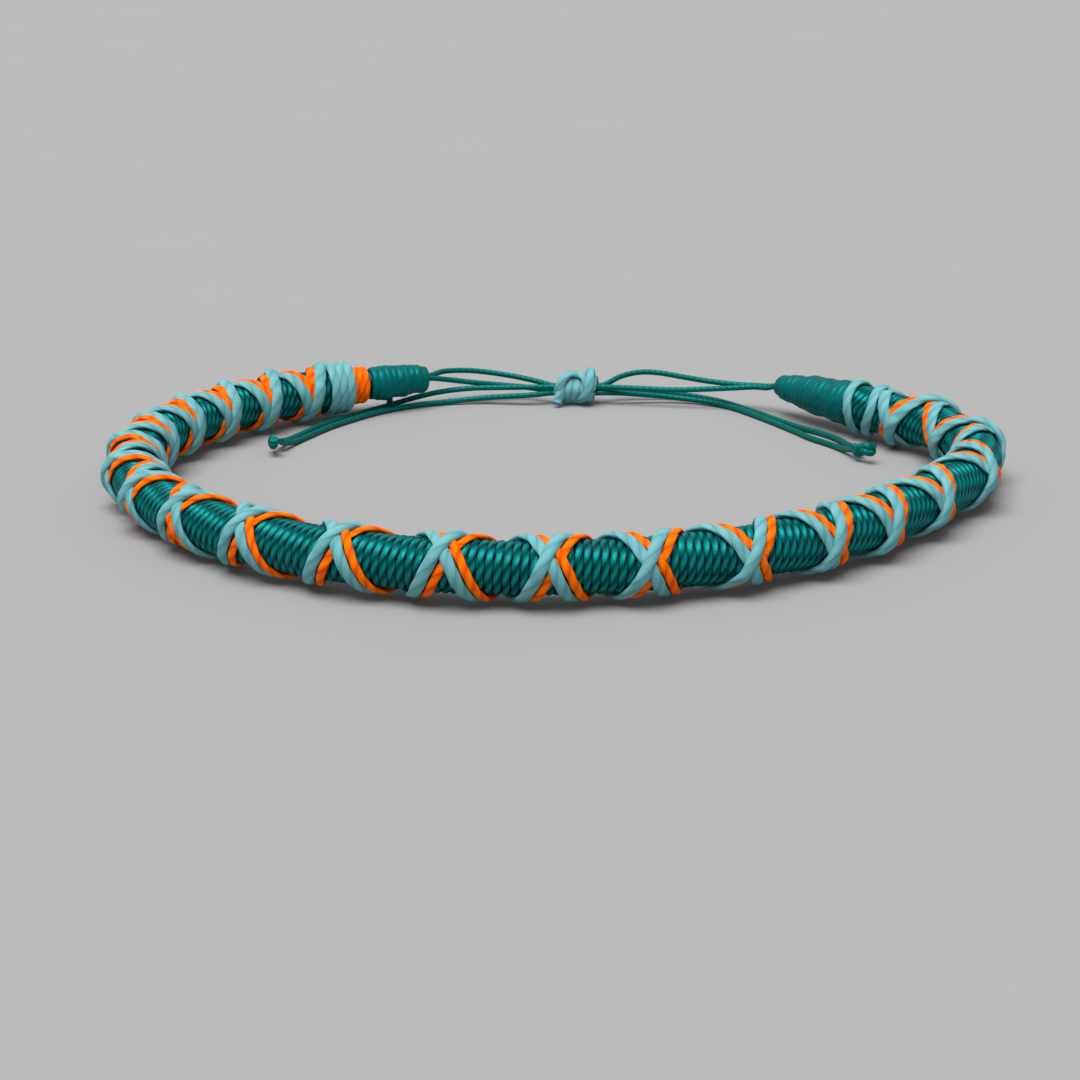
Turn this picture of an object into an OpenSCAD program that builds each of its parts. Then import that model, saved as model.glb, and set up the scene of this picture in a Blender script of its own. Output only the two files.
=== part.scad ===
// Friendship bracelet: a thread-wound band in an oval, open at the back, with criss-cross
// wraps round it and four thin cords that close it through a sliding knot.
// It lies flat. X runs along its width, the wrist goes through along Z, and the lowest
// wraps touch z = 0. Lengths are in millimetres and angles in degrees.

/* [Band] */
// Diameter of the thread-wound band
band_d = 4; // [3.8:0.05:4.05]
// Clearance between pieces that lie on each other
gap = 0.04; // [0.02:0.01:0.05]

/* [Wraps] */
// Width of a pale wrapping strand
pale_w = 0.94; // [0.7:0.02:0.96]
// Thickness of a pale wrapping strand
pale_t = 0.34; // [0.3:0.01:0.36]
// Width of an orange wrapping strand
orange_w = 0.54; // [0.4:0.02:0.56]
// Thickness of an orange wrapping strand
orange_t = 0.26; // [0.2:0.01:0.28]
// Distance along the band between the two strands of a pair
pair_step = 0.98; // [0.92:0.02:1]

/* [End bands and bindings] */
// Length of the left binding
left_binding_l = 6.2; // [5.8:0.1:6.6]
// Length of the right binding
right_binding_l = 9.2; // [8.8:0.1:9.6]
// Full diameter of a binding, of which each of its ribs takes a share
binding_d = 4.6; // [4.4:0.1:4.8]
// Diameter of the core that the winding leaves bare at its left end
core_d = 2.6; // [2.4:0.1:2.8]
// Height of the close turns of an end band over the winding
end_turn_t = 0.4; // [0.3:0.02:0.42]

/* [Closure] */
// Diameter of a closure cord
cord_d = 0.55; // [0.45:0.01:0.55]
// Length of the sliding knot
knot_l = 4.8; // [4.4:0.1:5]
// Diameter of the sliding knot
knot_d = 2.9; // [2.6:0.1:3]
// Diameter of the knot at the end of each pair of tails
tail_knot_d = 2.2; // [2:0.1:2.4]

/* [Hidden] */

$fn = 48;

teal = [0.04, 0.46, 0.44];
dark_teal = [0.02, 0.33, 0.33];
pale = [0.52, 0.77, 0.76];
orange = [0.98, 0.42, 0.03];

// The centreline of the band: tangent arcs from the left end, round the front, to the right end
ARC_R = 0;
ARC_A = 1;
band_arcs = [[33, 35], [23, 56], [35, 60], [38, 52], [82, 9], [15.5, 72], [400, 1.15]];
band_start = [-18.3, 26.9];
start_heading = 205;
joint_l = 0.01;

// Turns of the wraps: their mean pitch, and how far they crowd together at the two ends of
// the band
turns_in_all = 24.5;
mean_pitch = 6.28;
crowding = 5.2;
first_turn_s = -0.3;
// Near some turns the pairs sit further along, as a hand laid them: the turn, by how much, and
// how many turns to each side share in it
SLIP_TURN = 0;
SLIP_BY = 1;
SLIP_SPREAD = 2;
slips = [[12.2, 1.5, 1.9], [15.6, 0.9, 1]];
// Round the right bend the turns are wider: by this much in all, from a turn on and over some turns
widening = 9.5;
widening_from = 17.2;
widening_over = 4.6;

// The crossings drift slowly round the band; those on its inner side less than the outer ones,
// so that the band lies evenly
outer_drift = 24;
outer_swing = 36;
inner_drift = 6;
inner_swing = 18;
drift_length = 78;
drift_start = 50;
rings_per_turn = 12;
first_ring = 15;
last_ring = 262;
// Where strands lie on each other they keep this share of their thickness; a little room is
// left beside them, and the upper one comes down over the ramp
pressed = 0.7;
crossing_room = 0.11;
ramp = 1;

// In the falling pair the two strands change places near this turn
swap_turn = 9.74;
swap_half = 0.09;

// Radius of the inner face of a strand at its rings, so that its chords clear the winding
seat_r = (band_d / 2 + 1.5 * gap) / cos(180 / rings_per_turn);
// Height of the band's centreline when the lowest strands, which are still coming down from
// a crossing by this much, touch z = 0
lowest_lift = 0.4;
rest_z = seat_r + pale_t + lowest_lift;

// Where the winding starts; the core is bare before it
winding_from = 2.05;

// The middle of each end band along the band, its turns and their width
END_S = 0;
END_TURNS = 1;
END_W = 2;
left_orange_turns = [1.02, 3, 0.58];
left_pale_turns = [3.35, 3, 0.86];
right_pale_turns = [152.3, 3, 0.9];
sleeve_t = 0.15;

// The ribs of the bindings as shares of their full diameter, from the band outwards
left_ribs = [0.83, 0.69, 0.58];
left_rib_d = 2;
right_ribs = [0.93, 0.9, 0.78, 0.62, 0.48];
right_rib_d = 1.6;
binding_face_r = 0.7;

// Half the distance between two cords side by side
cord_side = 0.3;

// The cords' routes on each side of the sliding knot, both from left to right
left_cord_a_in = [[-12, 30.3, 3], [-10.8, 31.4, 3.1], [-8.6, 32.1, 3], [-6.2, 32.4, 2.7],
    [-3.4, 32.1, 2.3], [-1.3, 31.3, 2]];
left_cord_a_out = [[6.6, 31.5, 1.15], [8.8, 31.8, 1], [10.8, 31.9, 0.8], [13, 31.7, 0.6],
    [15, 31.1, 0.45], [16.8, 29.9, 0.35], [18.6, 27.8, 0.3], [20.3, 25.3, 0.3],
    [22, 22.5, 0.3], [23.5, 20.3, 0.3], [25, 18.6, 0.3], [26.4, 16.4, 0.3], [27.2, 13.8, 0.4]];
left_cord_b_in = [[-11.7, 29.8, 2.75], [-9.8, 30.8, 2.3], [-7.6, 31.2, 1.95], [-5.2, 31.7, 1.6],
    [-2.8, 31.8, 1.35], [-1.1, 31.2, 1.25]];
left_cord_b_out = [[6.8, 30.4, 1.1], [9, 30.6, 0.9], [11, 30.7, 0.7], [13.1, 30.5, 0.5],
    [15, 29.9, 0.4], [16.7, 28.8, 0.3], [18.3, 27, 0.3], [19.9, 24.4, 0.3], [21.5, 21.6, 0.3],
    [22.9, 18.9, 0.3], [24.1, 16.5, 0.3], [25.5, 14.5, 0.3], [26.5, 12.6, 0.4]];
right_cord_a_in = [[-24.8, 15.6, 0.4], [-23.5, 18.5, 0.3], [-22.1, 21.4, 0.3],
    [-20.3, 23.9, 0.3], [-18.4, 26.2, 0.3], [-16.4, 28.3, 0.35], [-14, 29.9, 0.7],
    [-11.4, 30.6, 1.15], [-8.4, 30.7, 1.5], [-5.4, 30.45, 1.65], [-2.6, 30.2, 1.75]];
right_cord_a_out = [[5.8, 31.2, 2.1], [7, 32.1, 2.45], [8.8, 32.6, 2.7], [10.7, 32.3, 2.7],
    [13, 31, 2.6], [15.5, 29.6, 2.5], [18, 28.8, 2.4], [20, 28.3, 2.4], [21.3, 27.6, 2.5]];
right_cord_b_in = [[-24.2, 14.9, 0.4], [-22.9, 17.6, 0.3], [-21.5, 20.3, 0.3],
    [-19.8, 22.8, 0.3], [-17.9, 25.2, 0.3], [-15.8, 27.2, 0.3], [-13.2, 28.9, 0.3],
    [-10.3, 29.9, 0.35], [-7.2, 30.3, 0.6], [-4.6, 30, 0.85], [-2.2, 29.8, 1.05]];
right_cord_b_out = [[8.5, 29.5, 1.8], [12, 28.9, 1.8], [15, 28.4, 2], [17.6, 28.1, 2.2],
    [19.8, 27.7, 2.4], [20.9, 27, 2.5]];
cord_sides = 8;

// The sliding knot's middle. The four cords make part of a turn round each other inside it.
knot_at = [2.4, 30.4, 1.5];
knot_twist = 90;
knot_steps = 4;

// The face, heading and rise of each knot on the tails
FACE_AT = 0;
FACE_HEADING = 1;
FACE_RISE = 2;
left_tail_face = [[27.6, 10.4, 0.95], -72, 15];
right_tail_face = [[-25.3, 12.9, 0.95], -110, 15];

// Place and heading on the band's centreline
function arc_length(i) = band_arcs[i][ARC_R] * band_arcs[i][ARC_A] * PI / 180;
function length_to(i) = i == 0 ? 0 : length_to(i - 1) + arc_length(i - 1);
function heading_to(i) = i == 0 ? start_heading : heading_to(i - 1) + band_arcs[i - 1][ARC_A];
function turned(from, a, b, r) = from + r * [sin(b) - sin(a), cos(a) - cos(b)];
function start_of(i) = i == 0 ? band_start
    : turned(start_of(i - 1), heading_to(i - 1), heading_to(i), band_arcs[i - 1][ARC_R]);

arc_starts = [for (i = [0:len(band_arcs)]) start_of(i)];
arc_headings = [for (i = [0:len(band_arcs)]) heading_to(i)];
arc_lengths = [for (i = [0:len(band_arcs)]) length_to(i)];

function arc_at(s) = max([for (i = [0:len(band_arcs) - 1]) if (i == 0 || s >= arc_lengths[i]) i]);
function heading_at(s) =
    let(i = arc_at(s))
    arc_headings[i] + (s - arc_lengths[i]) / band_arcs[i][ARC_R] * 180 / PI;
function centre_at(s) =
    let(i = arc_at(s))
    turned(arc_starts[i], arc_headings[i], heading_at(s), band_arcs[i][ARC_R]);

// Turns of the wraps along the band
function sum(values) = values * [for (v = values) 1];
function slip(row, t) = row[SLIP_BY] * exp(-pow((t - row[SLIP_TURN]) / row[SLIP_SPREAD], 2));
function slip_rate(row, t) = -2 * (t - row[SLIP_TURN]) / pow(row[SLIP_SPREAD], 2) * slip(row, t);
function smooth(x) =
    let(c = min(1, max(0, x)))
    c * c * (3 - 2 * c);
function smooth_rate(x) =
    let(c = min(1, max(0, x)))
    6 * c * (1 - c);
function turn_s(t) = first_turn_s + mean_pitch * t - crowding * sin(360 * t / turns_in_all)
    + widening * smooth((t - widening_from) / widening_over)
    + sum([for (row = slips) slip(row, t)]);
function pitch_at(t) =
    mean_pitch - crowding * 2 * PI / turns_in_all * cos(360 * t / turns_in_all)
    + widening / widening_over * smooth_rate((t - widening_from) / widening_over)
    + sum([for (row = slips) slip_rate(row, t)]);
function drift_at(t) =
    let(swing = sin(360 * (turn_s(t) - drift_start) / drift_length),
        outer = (1 + cos(360 * t)) / 2)
    outer * (outer_drift + outer_swing * swing) + (1 - outer) * (inner_drift + inner_swing * swing);
function angle_at(t, way) = way * 360 * t + drift_at(t);
function lean_at(t) = atan(pitch_at(t) / (2 * PI * seat_r));
function turn_length(t) = 2 * PI * seat_r / cos(lean_at(t));

// Places of the strands beside the middle of their pair
rise_side = pair_step / 2;
function swap_side(t) = 2 * smooth((t - swap_turn + swap_half) / (2 * swap_half)) - 1;
function pale_fall_side(t) = -pair_step / 2 * swap_side(t);
function orange_fall_side(t) = pair_step / 2 * swap_side(t);

// How far a strand at turn t is into its crossing with a strand of the other pair: 1 as far as
// the two lie on each other, then down to 0 over the ramp
function crossing(t, own_side, own_w, other_side, other_w) =
    let(x = t - (other_side - own_side) / (2 * pitch_at(t)),
        away = abs(x - round(2 * x) / 2) * turn_length(t),
        g = 2 * lean_at(t),
        half = (other_w + own_w * cos(g)) / 2 / sin(g) + crossing_room)
    1 - smooth((away - half) / ramp);
function swapping(t) =
    1 - smooth((abs(t - swap_turn) - 1.2 * swap_half) / (0.8 * swap_half));

// Each strand crosses two others
function orange_rise_crossings(t) = [
    crossing(t, rise_side, orange_w, orange_fall_side(t), orange_w),
    crossing(t, rise_side, orange_w, pale_fall_side(t), pale_w)];
function orange_fall_crossings(t) = [
    crossing(t, orange_fall_side(t), orange_w, rise_side, orange_w),
    crossing(t, orange_fall_side(t), orange_w, -rise_side, pale_w), swapping(t)];
function pale_fall_crossings(t) = [
    crossing(t, pale_fall_side(t), pale_w, rise_side, orange_w),
    crossing(t, pale_fall_side(t), pale_w, -rise_side, pale_w), swapping(t)];
function pale_rise_crossings(t) = [
    crossing(t, -rise_side, pale_w, orange_fall_side(t), orange_w),
    crossing(t, -rise_side, pale_w, pale_fall_side(t), pale_w)];

// Lifts over the flattened strands below, with room for their corners
corner_room = 0.03;
over_orange = pressed * orange_t + gap + corner_room;
over_pale = pressed * pale_t + gap + corner_room;
function orange_fall_lift(t) = over_orange * orange_fall_crossings(t)[0];
function pale_fall_lift(t) =
    over_orange * max(pale_fall_crossings(t)[0], swapping(t));
function pale_rise_lift(t) =
    let(c = pale_rise_crossings(t))
    max(2 * over_orange * c[0], (over_orange + over_pale) * c[1]);

// Outline of a strand across its run: sideways, then outward from its inner face
function pale_section() = [[-0.46 * pale_w, 0], [-0.42 * pale_w, 0.7 * pale_t], [0, pale_t],
                           [0.42 * pale_w, 0.7 * pale_t], [0.46 * pale_w, 0]];
function orange_section() = [[-0.46 * orange_w, 0], [-0.3 * orange_w, orange_t],
                             [0.3 * orange_w, orange_t], [0.46 * orange_w, 0]];

// One ring of a strand at turn t, beside its pair's middle by side; way is 1 for a strand
// that rises along the band on the outer side and -1 for one that falls. Its lean comes from
// how fast it turns over a small step dt.
dt = 0.01;
function strand_ring(section, t, way, side, lift, crossings) =
    let(s = turn_s(t) + side,
        h = heading_at(s),
        c = centre_at(s),
        angle = angle_at(t, way),
        out = [cos(angle) * sin(h), -cos(angle) * cos(h), sin(angle)],
        round_dir = [-sin(angle) * sin(h), sin(angle) * cos(h), cos(angle)],
        along = [cos(h), sin(h), 0],
        spin = (angle_at(t + dt, way) - angle_at(t - dt, way)) / (2 * dt) * PI / 180,
        lean = atan(pitch_at(t) / (seat_r * spin)),
        across = way * (cos(lean) * along - sin(lean) * round_dir),
        flat = 1 - (1 - pressed) * max(crossings))
    [for (q = section)
        [c.x, c.y, rest_z] + (seat_r + lift + flat * q.y) * out + q.x * across];

// Closed skin over a list of rings with the same number of points
function skin_faces(rings, sides, way) = concat(
    [[for (k = [0:sides - 1]) k]],
    [for (i = [0:rings - 2]) for (k = [0:sides - 1])
        let(a = i * sides + k, b = i * sides + (k + 1) % sides)
        each way > 0 ? [[a, a + sides, b], [b, a + sides, b + sides]]
            : [[a, a + sides, b + sides], [a, b + sides, b]]],
    [[for (k = [sides - 1:-1:0]) (rings - 1) * sides + k]]);

// Way 1 or -1 slants the triangles so that a strand's inner face keeps clear of the winding
module skin(rings, way) {
    sides = len(rings[0]);
    polyhedron(points = [for (ring = rings) each ring],
               faces = skin_faces(len(rings), sides, way));
}

// Puts the band's own frame at a place along it, with Z along the band
module on_band(s) {
    c = centre_at(s);
    translate([c.x, c.y, rest_z]) rotate([0, 0, heading_at(s)]) rotate([0, 90, 0]) children();
}

// The winding: a tube along each arc, a core that carries it over the hairline joint between
// two arcs, and the bare core at its left end
module wound_band() {
    joint_core_l = 0.8;
    color(teal) {
        for (i = [0:len(band_arcs) - 1]) {
            r = band_arcs[i][ARC_R];
            a = arc_headings[i];
            from_a = (i == 0 ? winding_from : joint_l / 2) / r * 180 / PI;
            to_a = band_arcs[i][ARC_A] - joint_l / 2 / r * 180 / PI;
            translate([arc_starts[i].x - r * sin(a), arc_starts[i].y + r * cos(a), rest_z])
                rotate([0, 0, a - 90 + from_a])
                rotate_extrude(angle = to_a - from_a)
                translate([r, 0]) circle(d = band_d);
        }
        for (i = [1:len(band_arcs) - 1])
            on_band(arc_lengths[i]) cylinder(d = 0.9 * band_d, h = joint_core_l, center = true);
        on_band(0) cylinder(d = core_d, h = winding_from + joint_core_l);
    }
}

ring_turns = [for (i = [first_ring:last_ring]) i / rings_per_turn];

module pale_rise_wrap() {
    color(pale)
        skin([for (t = ring_turns)
            strand_ring(pale_section(), t, 1, -rise_side, pale_rise_lift(t),
                        pale_rise_crossings(t))], 1);
}

module pale_fall_wrap() {
    color(pale)
        skin([for (t = ring_turns)
            strand_ring(pale_section(), t, -1, pale_fall_side(t), pale_fall_lift(t),
                        pale_fall_crossings(t))], -1);
}

module orange_rise_wrap() {
    color(orange)
        skin([for (t = ring_turns)
            strand_ring(orange_section(), t, 1, rise_side, 0,
                        orange_rise_crossings(t))], 1);
}

module orange_fall_wrap() {
    color(orange)
        skin([for (t = ring_turns)
            strand_ring(orange_section(), t, -1, orange_fall_side(t), orange_fall_lift(t),
                        orange_fall_crossings(t))], -1);
}

// Close turns near an end of the band, on a thin sleeve round what is inside them
module end_turns(turns, inside_d) {
    w = turns[END_W];
    n = turns[END_TURNS];
    bore_r = inside_d / 2 + 2 * gap;
    on_band(turns[END_S]) rotate_extrude() difference() {
        union() {
            translate([bore_r, -n * w / 2]) square([sleeve_t, n * w]);
            for (i = [0:n - 1])
                translate([bore_r + end_turn_t - w / 2, (i - (n - 1) / 2) * w]) circle(d = w);
        }
        translate([0, -n * w]) square([bore_r, 2 * n * w]);
    }
}

module left_orange_band() { color(orange) end_turns(left_orange_turns, core_d); }
module left_pale_band() { color(pale) end_turns(left_pale_turns, band_d); }
module right_pale_band() { color(pale) end_turns(right_pale_turns, band_d); }

// A binding: ribs round a core that narrows to the face where the cords come out
module binding(length, ribs, rib_d) {
    core_share = 0.86;
    last = len(ribs) - 1;
    rib_z = [for (i = [0:last]) rib_d / 2 + i * (length - rib_d) / last];
    rotate_extrude() {
        polygon([[0, 0], [core_share * ribs[0] * binding_d / 2, 0],
                 each [for (i = [0:last]) [core_share * ribs[i] * binding_d / 2, rib_z[i]]],
                 [binding_face_r, length], [0, length]]);
        for (i = [0:last])
            translate([ribs[i] * (binding_d - rib_d) / 2, rib_z[i]]) circle(d = ribs[i] * rib_d);
    }
}

// The left binding goes against the band's direction, and the stub of its cord sticks out
module left_binding() {
    stub_d = 1;
    color(dark_teal) on_band(0) rotate([180, 0, 0]) translate([0, 0, gap]) {
        binding(left_binding_l, left_ribs, left_rib_d);
        rotate([0, 0, 130]) translate([0.36 * binding_d, 0, 0.3 * left_binding_l])
            sphere(d = stub_d);
    }
}

module right_binding() {
    color(dark_teal) on_band(length_to(len(band_arcs))) translate([0, 0, gap])
        binding(right_binding_l, right_ribs, right_rib_d);
}

// Cords: their first and last points lie side by side on the faces they meet
function unit(v) = v / norm(v);
function flat_dir(heading) = [cos(heading), sin(heading), 0];
function flat_side(heading) = [-sin(heading), cos(heading), 0];
function tail_dir(face) =
    cos(face[FACE_RISE]) * flat_dir(face[FACE_HEADING]) + [0, 0, sin(face[FACE_RISE])];

left_exit_heading = start_heading - 180;
right_exit_heading = heading_to(len(band_arcs));
left_exit = [band_start.x, band_start.y, rest_z]
    + (left_binding_l + gap) * flat_dir(left_exit_heading);
right_end = start_of(len(band_arcs));
right_exit = [right_end.x, right_end.y, rest_z]
    + (right_binding_l + gap) * flat_dir(right_exit_heading);

// A cord's way through the sliding knot, from left to right, from an angle round its lane
function lane(from_a) = [for (i = [0:knot_steps])
    let(share = i / knot_steps,
        a = from_a - knot_twist * share)
    knot_at + [(share - 0.5) * knot_l, cord_side * sqrt(2) * cos(a), cord_side * sqrt(2) * sin(a)]];

function exit_point(exit, heading, side) = exit + side * cord_side * flat_side(heading);
function face_point(face, side) = face[FACE_AT] + side * cord_side * flat_side(face[FACE_HEADING]);
function left_route(side, in, lane_a, out) = concat(
    [exit_point(left_exit, left_exit_heading, side)], in, lane(lane_a), out,
    [face_point(left_tail_face, side)]);
function right_route(side, in, lane_a, out) = concat(
    [face_point(right_tail_face, side)], in, lane(lane_a), out,
    [exit_point(right_exit, right_exit_heading, side)]);

left_route_a = left_route(1, left_cord_a_in, 45, left_cord_a_out);
left_route_b = left_route(-1, left_cord_b_in, -45, left_cord_b_out);
right_route_a = right_route(-1, right_cord_a_in, 135, right_cord_a_out);
right_route_b = right_route(1, right_cord_b_in, 225, right_cord_b_out);

module cord(route, first_dir, last_dir) {
    last = len(route) - 1;
    rings = [for (i = [0:last])
        let(dir = i == 0 ? first_dir : i == last ? last_dir
                : unit(unit(route[i] - route[i - 1]) + unit(route[i + 1] - route[i])),
            side = unit(cross([0, 0, 1], dir)),
            up = cross(dir, side))
        [for (k = [0:cord_sides - 1])
            let(a = 360 / cord_sides * (k + 0.5))
            route[i] + cord_d / 2 * (cos(a) * side + sin(a) * up)]];
    skin(rings, 1);
}

module left_cord(route) {
    color(teal) cord(route, flat_dir(left_exit_heading), tail_dir(left_tail_face));
}

module right_cord(route) {
    color(teal) cord(route, -tail_dir(right_tail_face), -flat_dir(right_exit_heading));
}

module left_cord_a() { left_cord(left_route_a); }
module left_cord_b() { left_cord(left_route_b); }
module right_cord_a() { right_cord(right_route_a); }
module right_cord_b() { right_cord(right_route_b); }

// The sliding knot: two fat turns and two collars round the four cords
module sliding_knot() {
    lane_r = cord_side * sqrt(2) + cord_d / 2 + gap;
    turn_d = 1.3;
    collar_d = 0.9;
    stub_d = 0.9;
    color(pale) translate(knot_at) rotate([0, 90, 0]) difference() {
        union() {
            translate([0, 0, -knot_l / 2]) cylinder(d = 0.74 * knot_d, h = knot_l);
            for (end = [-1, 1]) {
                translate([0, 0, end * knot_l / 4]) rotate_extrude()
                    translate([(knot_d - turn_d) / 2, 0]) circle(d = turn_d);
                translate([0, 0, end * (knot_l - collar_d) / 2]) rotate_extrude()
                    translate([0.43 * knot_d - collar_d / 2, 0]) circle(d = collar_d);
            }
            rotate([0, 0, -60]) translate([0.42 * knot_d, 0, -0.3 * knot_l]) sphere(d = stub_d);
            rotate([0, 0, 160]) translate([0.42 * knot_d, 0, 0.22 * knot_l]) sphere(d = stub_d);
        }
        translate([0, 0, -knot_l]) cylinder(r = lane_r, h = 2 * knot_l);
    }
}

// An overhand knot that holds the ends of two cords
module tail_knot(face) {
    turn_d = 0.48 * tail_knot_d;
    core_r = cord_side + cord_d / 2 + gap;
    color(teal) translate(face[FACE_AT]) rotate([0, 90 - face[FACE_RISE], face[FACE_HEADING]])
        rotate_extrude() {
            square([core_r, tail_knot_d]);
            for (z = [turn_d / 2, tail_knot_d - turn_d / 2])
                translate([(tail_knot_d - turn_d) / 2, z]) circle(d = turn_d);
        }
}

module left_tail_knot() { tail_knot(left_tail_face); }
module right_tail_knot() { tail_knot(right_tail_face); }

wound_band();
pale_rise_wrap();
pale_fall_wrap();
orange_rise_wrap();
orange_fall_wrap();
left_orange_band();
left_pale_band();
right_pale_band();
left_binding();
right_binding();
left_cord_a();
left_cord_b();
right_cord_a();
right_cord_b();
sliding_knot();
left_tail_knot();
right_tail_knot();
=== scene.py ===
"""Friendship bracelet: wound thread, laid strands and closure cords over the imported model."""

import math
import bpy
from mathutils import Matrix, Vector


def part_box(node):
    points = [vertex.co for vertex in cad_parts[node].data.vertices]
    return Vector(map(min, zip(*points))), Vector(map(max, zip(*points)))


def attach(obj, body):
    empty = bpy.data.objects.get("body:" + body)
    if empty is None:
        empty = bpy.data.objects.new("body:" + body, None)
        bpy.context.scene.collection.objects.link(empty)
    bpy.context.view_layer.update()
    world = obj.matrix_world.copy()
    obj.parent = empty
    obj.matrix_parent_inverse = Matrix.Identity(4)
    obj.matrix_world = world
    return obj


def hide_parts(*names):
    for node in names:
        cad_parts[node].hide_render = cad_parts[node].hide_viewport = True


bl_info = {
    "name": "Friendship Bracelet",
    "version": (1, 0, 0),
    "blender": (4, 5, 0),
    "location": "3D View > Sidebar > Bracelet",
    "description": "Builds a thread-wound friendship bracelet, its corded closure and a small studio",
    "category": "Object",
}

import bpy
import numpy as np

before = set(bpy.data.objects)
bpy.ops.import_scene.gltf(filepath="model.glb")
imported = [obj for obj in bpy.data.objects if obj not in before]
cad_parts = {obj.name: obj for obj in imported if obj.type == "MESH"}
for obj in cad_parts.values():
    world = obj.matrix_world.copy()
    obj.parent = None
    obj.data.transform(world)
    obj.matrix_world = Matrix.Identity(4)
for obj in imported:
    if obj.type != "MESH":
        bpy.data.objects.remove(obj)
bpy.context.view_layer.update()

# Lengths inside the functions are in millimetres
MM = 0.001

# The band's middle line: radius and turn of each arc from the left end, round the front
BAND_ARCS = ((33, 35), (23, 56), (35, 60), (38, 52), (82, 9), (15.5, 72), (400, 1.15))
BAND_START = (-18.3, 26.9)
START_HEADING = math.radians(205)
BAND_LENGTH = sum(radius * math.radians(angle) for radius, angle in BAND_ARCS)
BAND_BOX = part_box("wound_band")
BAND_Z = (BAND_BOX[0][2] + BAND_BOX[1][2]) / 2 / MM
# The core is bare up to here, and thinner than under the winding
WINDING_FROM = 2.05
BARE_CORE_RADIUS = 1.3
CORE_RADIUS = 1.75
# Radii on which the winding ends and the wraps lie, and the solids' seat of the wraps
SEAT = 2.04
WRAP_SEAT = 2.0
SOLID_SEAT = 2.1327

# Turns of the criss-cross wraps
TURNS_IN_ALL = 24.5
MEAN_PITCH = 6.28
CROWDING = 5.2
FIRST_TURN_S = -0.3
# Near some turns the pairs sit further along: the turn, by how much and over how many turns
SLIPS = ((12.2, 1.5, 1.9), (15.6, 0.9, 1.0))
# Round the right bend the turns are wider: by this much in all, from a turn on and over some turns
WIDENING = 9.5
WIDENING_FROM = 17.2
WIDENING_OVER = 4.6
# The crossings drift round the band, in degrees: their middle and how far they swing from it
OUTER_DRIFT = (24, 36)
INNER_DRIFT = (6, 18)
DRIFT_LENGTH = 78
DRIFT_START = 50
# The two strands of a pair lie this far apart; the falling ones change places near one turn
PAIR_STEP = 0.94
SWAP_TURN = 9.74
SWAP_HALF = 0.09
# Where strands cross they keep this share of their thickness, and the upper one comes down
# again over the ramp
PRESSED = 0.66
CROSSING_ROOM = 0.11
RAMP = 1.0

# The closure cords on each side of the sliding knot, from left to right
LEFT_CORD_A_IN = ((-12, 30.3, 3), (-10.8, 31.4, 3.1), (-8.6, 32.1, 3), (-6.2, 32.4, 2.7),
                  (-3.4, 32.1, 2.3), (-1.3, 31.3, 2))
LEFT_CORD_A_OUT = ((6.6, 31.5, 1.15), (8.8, 31.8, 1), (10.8, 31.9, 0.8), (13, 31.7, 0.6),
                   (15, 31.1, 0.45), (16.8, 29.9, 0.35), (18.6, 27.8, 0.3), (20.3, 25.3, 0.3),
                   (22, 22.5, 0.3), (23.5, 20.3, 0.3), (25, 18.6, 0.3), (26.4, 16.4, 0.3),
                   (27.2, 13.8, 0.4))
LEFT_CORD_B_IN = ((-11.7, 29.8, 2.75), (-9.8, 30.8, 2.3), (-7.6, 31.2, 1.95), (-5.2, 31.7, 1.6),
                  (-2.8, 31.8, 1.35), (-1.1, 31.2, 1.25))
LEFT_CORD_B_OUT = ((6.8, 30.4, 1.1), (9, 30.6, 0.9), (11, 30.7, 0.7), (13.1, 30.5, 0.5),
                   (15, 29.9, 0.4), (16.7, 28.8, 0.3), (18.3, 27, 0.3), (19.9, 24.4, 0.3),
                   (21.5, 21.6, 0.3), (22.9, 18.9, 0.3), (24.1, 16.5, 0.3), (25.5, 14.5, 0.3),
                   (26.5, 12.6, 0.4))
RIGHT_CORD_A_IN = ((-24.8, 15.6, 0.4), (-23.5, 18.5, 0.3), (-22.1, 21.4, 0.3), (-20.3, 23.9, 0.3),
                   (-18.4, 26.2, 0.3), (-16.4, 28.3, 0.35), (-14, 29.9, 0.7), (-11.4, 30.6, 1.15),
                   (-8.4, 30.7, 1.5), (-5.4, 30.45, 1.65), (-2.6, 30.2, 1.75))
RIGHT_CORD_A_OUT = ((5.8, 31.2, 2.1), (7, 32.1, 2.45), (8.8, 32.6, 2.7), (10.7, 32.3, 2.7),
                    (13, 31, 2.6), (15.5, 29.6, 2.5), (18, 28.8, 2.4), (20, 28.3, 2.4),
                    (21.3, 27.6, 2.5))
RIGHT_CORD_B_IN = ((-24.2, 14.9, 0.4), (-22.9, 17.6, 0.3), (-21.5, 20.3, 0.3), (-19.8, 22.8, 0.3),
                   (-17.9, 25.2, 0.3), (-15.8, 27.2, 0.3), (-13.2, 28.9, 0.3), (-10.3, 29.9, 0.35),
                   (-7.2, 30.3, 0.6), (-4.6, 30, 0.85), (-2.2, 29.8, 1.05))
RIGHT_CORD_B_OUT = ((8.5, 29.5, 1.8), (12, 28.9, 1.8), (15, 28.4, 2), (17.6, 28.1, 2.2),
                    (19.8, 27.7, 2.4), (20.9, 27, 2.5))
# Half the distance between two cords side by side, and the step between a laid cord's points
CORD_SIDE = 0.3
CORD_STEP = 0.13
LEFT_BINDING_LENGTH = 6.2
RIGHT_BINDING_LENGTH = 9.2
SLIDING_KNOT_AT = (2.4, 30.4, 1.5)
SLIDING_KNOT_LENGTH = 4.8
# Each tail knot's face, heading and rise
LEFT_TAIL_KNOT = ((27.6, 10.4, 0.95), -72, 15)
RIGHT_TAIL_KNOT = ((-25.3, 12.9, 0.95), -110, 15)


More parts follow.
